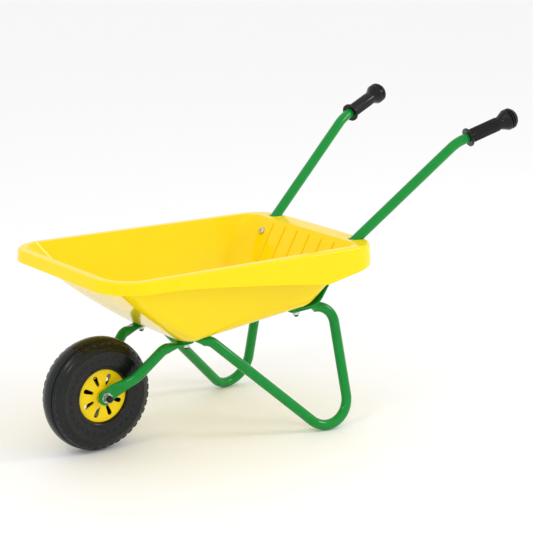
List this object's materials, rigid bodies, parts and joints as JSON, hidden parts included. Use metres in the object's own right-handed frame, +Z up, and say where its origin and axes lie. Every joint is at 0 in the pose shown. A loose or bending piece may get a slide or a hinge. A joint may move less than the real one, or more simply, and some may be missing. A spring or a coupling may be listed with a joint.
{
  "type": "child's garden wheelbarrow",
  "caption": "Small garden wheelbarrow: deep moulded tray on bent steel tubes with pressed-flat ends, domed plastic grips and a foam-filled wheel.",
  "frame": {"origin": "on the ground, below the middle of the overall length and width", "axes": "+X forward towards the wheel, +Y to the user's left, +Z up"},
  "size_m": [0.776, 0.3646, 0.4766],
  "materials": {
    "tray_plastic": "glossy injection-moulded yellow",
    "tyre_rubber": "satin foam rubber",
    "tube_paint": "glossy green powder coat",
    "grip_plastic": "soft black vinyl",
    "hub_plastic": "semi-gloss yellow",
    "bush_plastic": "plain black",
    "zinc": "bright zinc plate",
    "cap_plastic": "black moulded plastic"
  },
  "bodies": {
    "frame": {"tray": "tray_plastic", "handle_tube_left": "tube_paint", "handle_tube_right": "tube_paint", "leg_tube_left": "tube_paint", "leg_tube_right": "tube_paint", "fork_tube_left": "tube_paint", "fork_tube_right": "tube_paint", "grip_left": "grip_plastic", "grip_right": "grip_plastic", "axle_spacer_left": "zinc", "axle_spacer_right": "zinc", "floor_bolts": "zinc", "wall_bolts": "zinc", "floor_washers": "zinc", "small_nuts": "zinc", "small_nut_caps": "cap_plastic", "axle": "zinc", "axle_washers": "zinc", "axle_nuts": "zinc", "axle_caps": "cap_plastic"},
    "wheel": {"tyre": "tyre_rubber", "hub_left": "hub_plastic", "hub_right": "hub_plastic", "hub_bush_left": "bush_plastic", "hub_bush_right": "bush_plastic"}
  },
  "joints": [
    {"name": "wheel_spin", "type": "hinge", "parent": "frame", "child": "wheel", "pos_m": [0.3005, 0, 0.0875], "axis": [0, 1, 0], "continuous": true}
  ]
}
